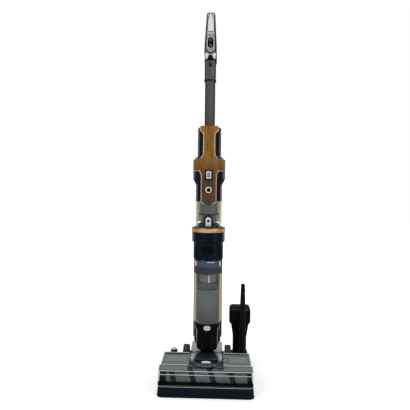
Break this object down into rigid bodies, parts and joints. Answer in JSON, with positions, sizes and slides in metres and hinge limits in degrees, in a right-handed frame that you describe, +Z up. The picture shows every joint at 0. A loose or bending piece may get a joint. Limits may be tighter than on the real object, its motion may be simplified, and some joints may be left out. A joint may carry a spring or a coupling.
{
  "type": "wet dry floor scrubber",
  "caption": "Upright cordless wet and dry floor washer with a lift-off hand vacuum, parked on its self-cleaning dock with a crevice tool and a small powered brush.",
  "frame": {"origin": "on the floor under the centre line of the upright body, at the dock's underside", "axes": "+Z up, -Y towards the front roller, +X to the right seen from the front"},
  "size_m": [0.276, 0.302, 1.1263],
  "materials": {
    "navy_shell": "satin navy moulding",
    "black_shell": "fine matt black moulding",
    "black_gloss": "gloss black moulding",
    "grey_shell": "satin grey moulding",
    "clear_plastic": "clear moulding",
    "smoke_plastic": "smoked clear moulding",
    "blue_grey": "blue-grey moulding",
    "gold_trim": "satin bronze-gold",
    "copper": "polished copper plating",
    "chrome": "polished",
    "silver": "satin silver coating",
    "tube": "anodised dark grey",
    "steel": "turned",
    "motor_can": "plain",
    "rubber": "matt",
    "tyre": "matt",
    "hub": "matt",
    "pile": "short pile"
  },
  "bodies": {
    "dock": {"dock_tray": "black_shell", "dock_fascia": "navy_shell", "dock_feet": "rubber", "charging_pins": "chrome", "tool_holder": "black_shell", "storage_peg": "black_gloss"},
    "crevice_tool": {"crevice_tool": "navy_shell"},
    "mini_brush": {"mini_brush_body": "black_shell"},
    "mini_roller": {"mini_brush_roller": "pile"},
    "floor_head": {"head_chassis": "black_shell", "head_deck": "grey_shell", "neck_shroud": "navy_shell", "roller_motor": "motor_can", "drive_belt": "rubber", "squeegee": "rubber", "head_axle": "steel"},
    "motor_pulley": {"motor_pulley": "steel"},
    "roller": {"roller_core": "black_shell", "roller_sleeve": "pile"},
    "wheel_left": {"wheel_left_hub": "hub", "wheel_left_tyre": "tyre"},
    "wheel_right": {"wheel_right_hub": "hub", "wheel_right_tyre": "tyre"},
    "cover": {"roller_cover": "smoke_plastic", "cover_bumper": "black_gloss"},
    "cover_latch": {"cover_latch": "silver"},
    "neck": {"neck_core": "black_shell", "neck_arms": "grey_shell"},
    "main_body": {"lower_housing": "black_shell", "lower_panel": "black_gloss", "rear_spine": "black_shell", "motor_housing": "navy_shell", "copper_ring": "copper", "suction_motor": "motor_can"},
    "tank_key": {"tank_button": "silver"},
    "body_key": {"body_button": "black_gloss"},
    "impeller": {"suction_impeller": "silver"},
    "dirty_tank": {"dirty_tank_shell": "clear_plastic", "tank_filter": "black_shell", "tank_lid": "blue_grey", "tank_standpipe": "blue_grey"},
    "clean_tank": {"clean_tank": "smoke_plastic", "clean_tank_cap": "blue_grey"},
    "hand_vac": {"dust_cup": "clear_plastic", "cyclone": "grey_shell", "cup_base": "navy_shell", "vac_housing": "navy_shell", "gold_trim": "gold_trim", "battery_case": "navy_shell", "vac_motor": "motor_can"},
    "vac_release": {"cup_latch": "silver"},
    "power_slide": {"power_latch": "silver"},
    "round_key": {"round_button": "silver"},
    "handle": {"handle_tube": "tube", "handle_collar": "grey_shell", "handle_frame": "black_gloss", "handle_window": "silver", "control_pad": "black_gloss"},
    "power_key": {"power_key": "silver"},
    "mode_key": {"mode_key": "silver"}
  },
  "joints": [
    {"name": "lift_off", "type": "slide", "parent": "dock", "child": "floor_head", "axis": [0, 0, 1], "range_m": [0, 0.45]},
    {"name": "crevice_tool_out", "type": "slide", "parent": "dock", "child": "crevice_tool", "axis": [0, 0, 1], "range_m": [0, 0.15]},
    {"name": "mini_brush_out", "type": "slide", "parent": "dock", "child": "mini_brush", "axis": [0, 0, 1], "range_m": [0, 0.15]},
    {"name": "mini_roller_spin", "type": "hinge", "parent": "mini_brush", "child": "mini_roller", "pos_m": [0.106, 0.12, 0.1673], "axis": [1, 0, 0], "continuous": true},
    {"name": "recline", "type": "hinge", "parent": "floor_head", "child": "neck", "pos_m": [0, 0, 0.051], "axis": [-1, 0, 0], "range_deg": [0, 70]},
    {"name": "steer", "type": "hinge", "parent": "neck", "child": "main_body", "pos_m": [0, 0, 0.075], "axis": [0, 0, 1], "range_deg": [-45, 45]},
    {"name": "roller_spin", "type": "hinge", "parent": "floor_head", "child": "roller", "pos_m": [0, -0.121, 0.0403], "axis": [1, 0, 0], "continuous": true},
    {"name": "motor_pulley_spin", "type": "hinge", "parent": "floor_head", "child": "motor_pulley", "pos_m": [-0.118, -0.071, 0.044], "axis": [1, 0, 0], "continuous": true},
    {"name": "wheel_left_spin", "type": "hinge", "parent": "floor_head", "child": "wheel_left", "pos_m": [-0.064, 0, 0.051], "axis": [1, 0, 0], "continuous": true},
    {"name": "wheel_right_spin", "type": "hinge", "parent": "floor_head", "child": "wheel_right", "pos_m": [0.064, 0, 0.051], "axis": [1, 0, 0], "continuous": true},
    {"name": "cover_lift", "type": "slide", "parent": "floor_head", "child": "cover", "axis": [0, 0, 1], "range_m": [0, 0.06]},
    {"name": "cover_latch_press", "type": "slide", "parent": "cover", "child": "cover_latch", "axis": [0, 0, -1], "range_m": [0, 0.002], "stiffness_N_per_m": 400, "springref_m": -0.0005},
    {"name": "dirty_tank_out", "type": "slide", "parent": "main_body", "child": "dirty_tank", "axis": [0, -1, 0], "range_m": [0, 0.15]},
    {"name": "tank_key_press", "type": "slide", "parent": "main_body", "child": "tank_key", "axis": [0, 1, 0], "range_m": [0, 0.002], "stiffness_N_per_m": 400, "springref_m": -0.0005},
    {"name": "clean_tank_out", "type": "slide", "parent": "main_body", "child": "clean_tank", "axis": [0, 1, 0], "range_m": [0, 0.05]},
    {"name": "body_key_press", "type": "slide", "parent": "main_body", "child": "body_key", "axis": [0, 1, 0], "range_m": [0, 0.002], "stiffness_N_per_m": 400, "springref_m": -0.0005},
    {"name": "impeller_spin", "type": "hinge", "parent": "main_body", "child": "impeller", "pos_m": [0, 0, 0.376], "axis": [0, 0, 1], "continuous": true},
    {"name": "hand_vac_lift", "type": "slide", "parent": "main_body", "child": "hand_vac", "axis": [0, 0, 1], "range_m": [0, 0.12]},
    {"name": "vac_release_press", "type": "slide", "parent": "hand_vac", "child": "vac_release", "axis": [0, 1, 0], "range_m": [0, 0.0012], "stiffness_N_per_m": 400, "springref_m": -0.0005},
    {"name": "power_slide_press", "type": "slide", "parent": "hand_vac", "child": "power_slide", "axis": [0, 1, 0], "range_m": [0, 0.002], "stiffness_N_per_m": 400, "springref_m": -0.0005},
    {"name": "round_key_press", "type": "slide", "parent": "hand_vac", "child": "round_key", "axis": [0, 1, 0], "range_m": [0, 0.002], "stiffness_N_per_m": 400, "springref_m": -0.0005},
    {"name": "handle_lift", "type": "slide", "parent": "hand_vac", "child": "handle", "axis": [0, 0, 1], "range_m": [0, 0.06]},
    {"name": "power_key_press", "type": "slide", "parent": "handle", "child": "power_key", "axis": [0, 1, 0], "range_m": [0, 0.001], "stiffness_N_per_m": 400, "springref_m": -0.0005},
    {"name": "mode_key_press", "type": "slide", "parent": "handle", "child": "mode_key", "axis": [0, 1, 0], "range_m": [0, 0.001], "stiffness_N_per_m": 400, "springref_m": -0.0005}
  ],
  "couplings": [
    {"joint": "motor_pulley_spin", "follows": "roller_spin", "ratio": 2}
  ]
}
